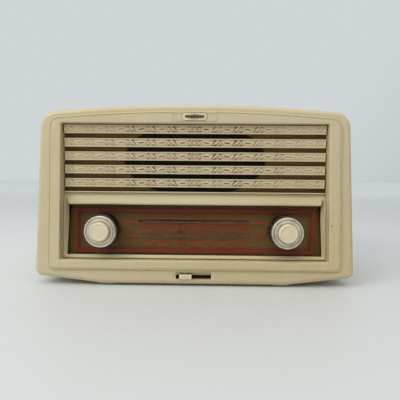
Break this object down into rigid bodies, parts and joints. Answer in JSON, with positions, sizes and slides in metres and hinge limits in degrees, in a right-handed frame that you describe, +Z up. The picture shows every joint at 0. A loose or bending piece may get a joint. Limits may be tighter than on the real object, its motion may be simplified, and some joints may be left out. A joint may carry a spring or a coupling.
{
  "type": "table radio",
  "caption": "Cream bakelite valve table radio with a louvred loudspeaker grille over a wide dial, round tuning and volume knobs and a sliding wave-change lever.",
  "frame": {"origin": "middle of the footprint, on the surface that the set stands on", "axes": "+X to the right of someone facing the set, +Y towards its back, +Z up"},
  "size_m": [0.3886, 0.185, 0.2215],
  "materials": {
    "bakelite": "cream-painted bakelite, satin gloss, lightly worn",
    "louvre": "cream moulded bars with shallow relief, satin",
    "bezel": "cream moulding, satin gloss",
    "dial_glass": "clear, printed on its rear face",
    "dial_metal": "dark olive brown paint",
    "cloth": "brown woven loudspeaker cloth",
    "board": "pressed brown hardboard",
    "badge": "bright plate with a plain emblem",
    "knob_black": "black moulded skirt",
    "knob_ring": "spun aluminium, fine turning marks",
    "knob_cap": "cream moulding",
    "steel": "zinc-plated, dull",
    "aluminium": "plain sheet, dull",
    "iron": "varnished laminations",
    "winding": "varnished paper over copper wire",
    "cone_paper": "black pulp cone",
    "valve_glass": "clear envelope with a silvered top",
    "black_plastic": "black phenolic",
    "brass": "turned, slightly tarnished",
    "paxolin": "brown paxolin sheet",
    "rubber": "black rubber",
    "felt": "grey-green felt",
    "cord": "waxed braided cord",
    "ferrite": "dark grey ferrite",
    "pointer": "black enamelled wire and clip"
  },
  "bodies": {
    "radio_set": {"cabinet": "bakelite", "feet": "felt", "badge_plate": "badge", "louvre_bar_1": "louvre", "louvre_bar_2": "louvre", "louvre_bar_3": "louvre", "louvre_bar_4": "louvre", "louvre_bar_5": "louvre", "speaker_cloth": "cloth", "baffle_board": "board", "baffle_screws": "steel", "speaker_frame": "steel", "speaker_cone": "cone_paper", "speaker_magnet": "iron", "dial_bezel": "bezel", "dial_glass": "dial_glass", "dial_backplate": "dial_metal", "glass_buffers": "rubber", "dial_standoffs": "aluminium", "chassis": "steel", "chassis_bolts": "steel", "mains_transformer_core": "iron", "mains_transformer_winding": "winding", "output_transformer_core": "iron", "output_transformer_winding": "winding", "valve_holders": "black_plastic", "valves": "valve_glass", "if_cans": "aluminium", "smoothing_capacitor": "aluminium", "gang_frame": "steel", "gang_stators": "aluminium", "volume_control": "black_plastic", "pointer_rail": "steel", "pulley_pins": "steel", "drive_cord": "cord", "wave_switch": "paxolin", "wave_slot_plate": "steel", "aerial_rod": "ferrite", "aerial_coils": "winding", "aerial_brackets": "paxolin", "dial_lamps": "valve_glass", "back_cover": "board", "back_cover_screws": "brass", "socket_panel": "paxolin", "aerial_sockets": "brass", "mains_grommet": "rubber"},
    "volume_control_knob": {"volume_knob_skirt": "knob_black", "volume_knob_ring": "knob_ring", "volume_knob_cap": "knob_cap", "volume_spindle": "steel"},
    "tuning_control_knob": {"tuning_knob_skirt": "knob_black", "tuning_knob_ring": "knob_ring", "tuning_knob_cap": "knob_cap", "tuning_spindle": "steel"},
    "tuning_capacitor_rotor": {"gang_rotor": "aluminium", "drive_drum": "aluminium"},
    "pointer": {"dial_pointer": "pointer"},
    "pulley_on_left": {"left_pulley": "brass"},
    "pulley_on_right": {"right_pulley": "brass"},
    "wave_change_lever": {"wave_lever": "knob_cap"}
  },
  "joints": [
    {"name": "tuning_capacitor_turn", "type": "hinge", "parent": "radio_set", "child": "tuning_capacitor_rotor", "pos_m": [0.141, -0.0475, 0.138], "axis": [0, 1, 0], "range_deg": [-64.4, 115.4]},
    {"name": "tuning_turn", "type": "hinge", "parent": "radio_set", "child": "tuning_control_knob", "pos_m": [0.1114, -0.0845, 0.0672], "axis": [0, 1, 0], "range_deg": [-644.2, 1154.2]},
    {"name": "pointer_slide", "type": "slide", "parent": "radio_set", "child": "pointer", "axis": [1, 0, 0], "range_m": [-0.04506, 0.08066]},
    {"name": "left_pulley_turn", "type": "hinge", "parent": "radio_set", "child": "pulley_on_left", "pos_m": [-0.088, -0.0475, 0.0685], "axis": [0, 1, 0], "range_deg": [-322.2, 577.2]},
    {"name": "right_pulley_turn", "type": "hinge", "parent": "radio_set", "child": "pulley_on_right", "pos_m": [0.09, -0.0475, 0.0815], "axis": [0, 1, 0], "range_deg": [-923.4, 515.4]},
    {"name": "volume_turn", "type": "hinge", "parent": "radio_set", "child": "volume_control_knob", "pos_m": [-0.1114, -0.0845, 0.0672], "axis": [0, 1, 0], "range_deg": [-150, 150]},
    {"name": "wave_change_slide", "type": "slide", "parent": "radio_set", "child": "wave_change_lever", "axis": [1, 0, 0], "range_m": [-0.004, 0.023]}
  ],
  "couplings": [
    {"joint": "tuning_turn", "follows": "tuning_capacitor_turn", "ratio": 10},
    {"joint": "pointer_slide", "follows": "tuning_capacitor_turn", "m_per_rad": 0.04},
    {"joint": "left_pulley_turn", "follows": "tuning_capacitor_turn", "ratio": 5},
    {"joint": "right_pulley_turn", "follows": "tuning_capacitor_turn", "ratio": -8}
  ]
}
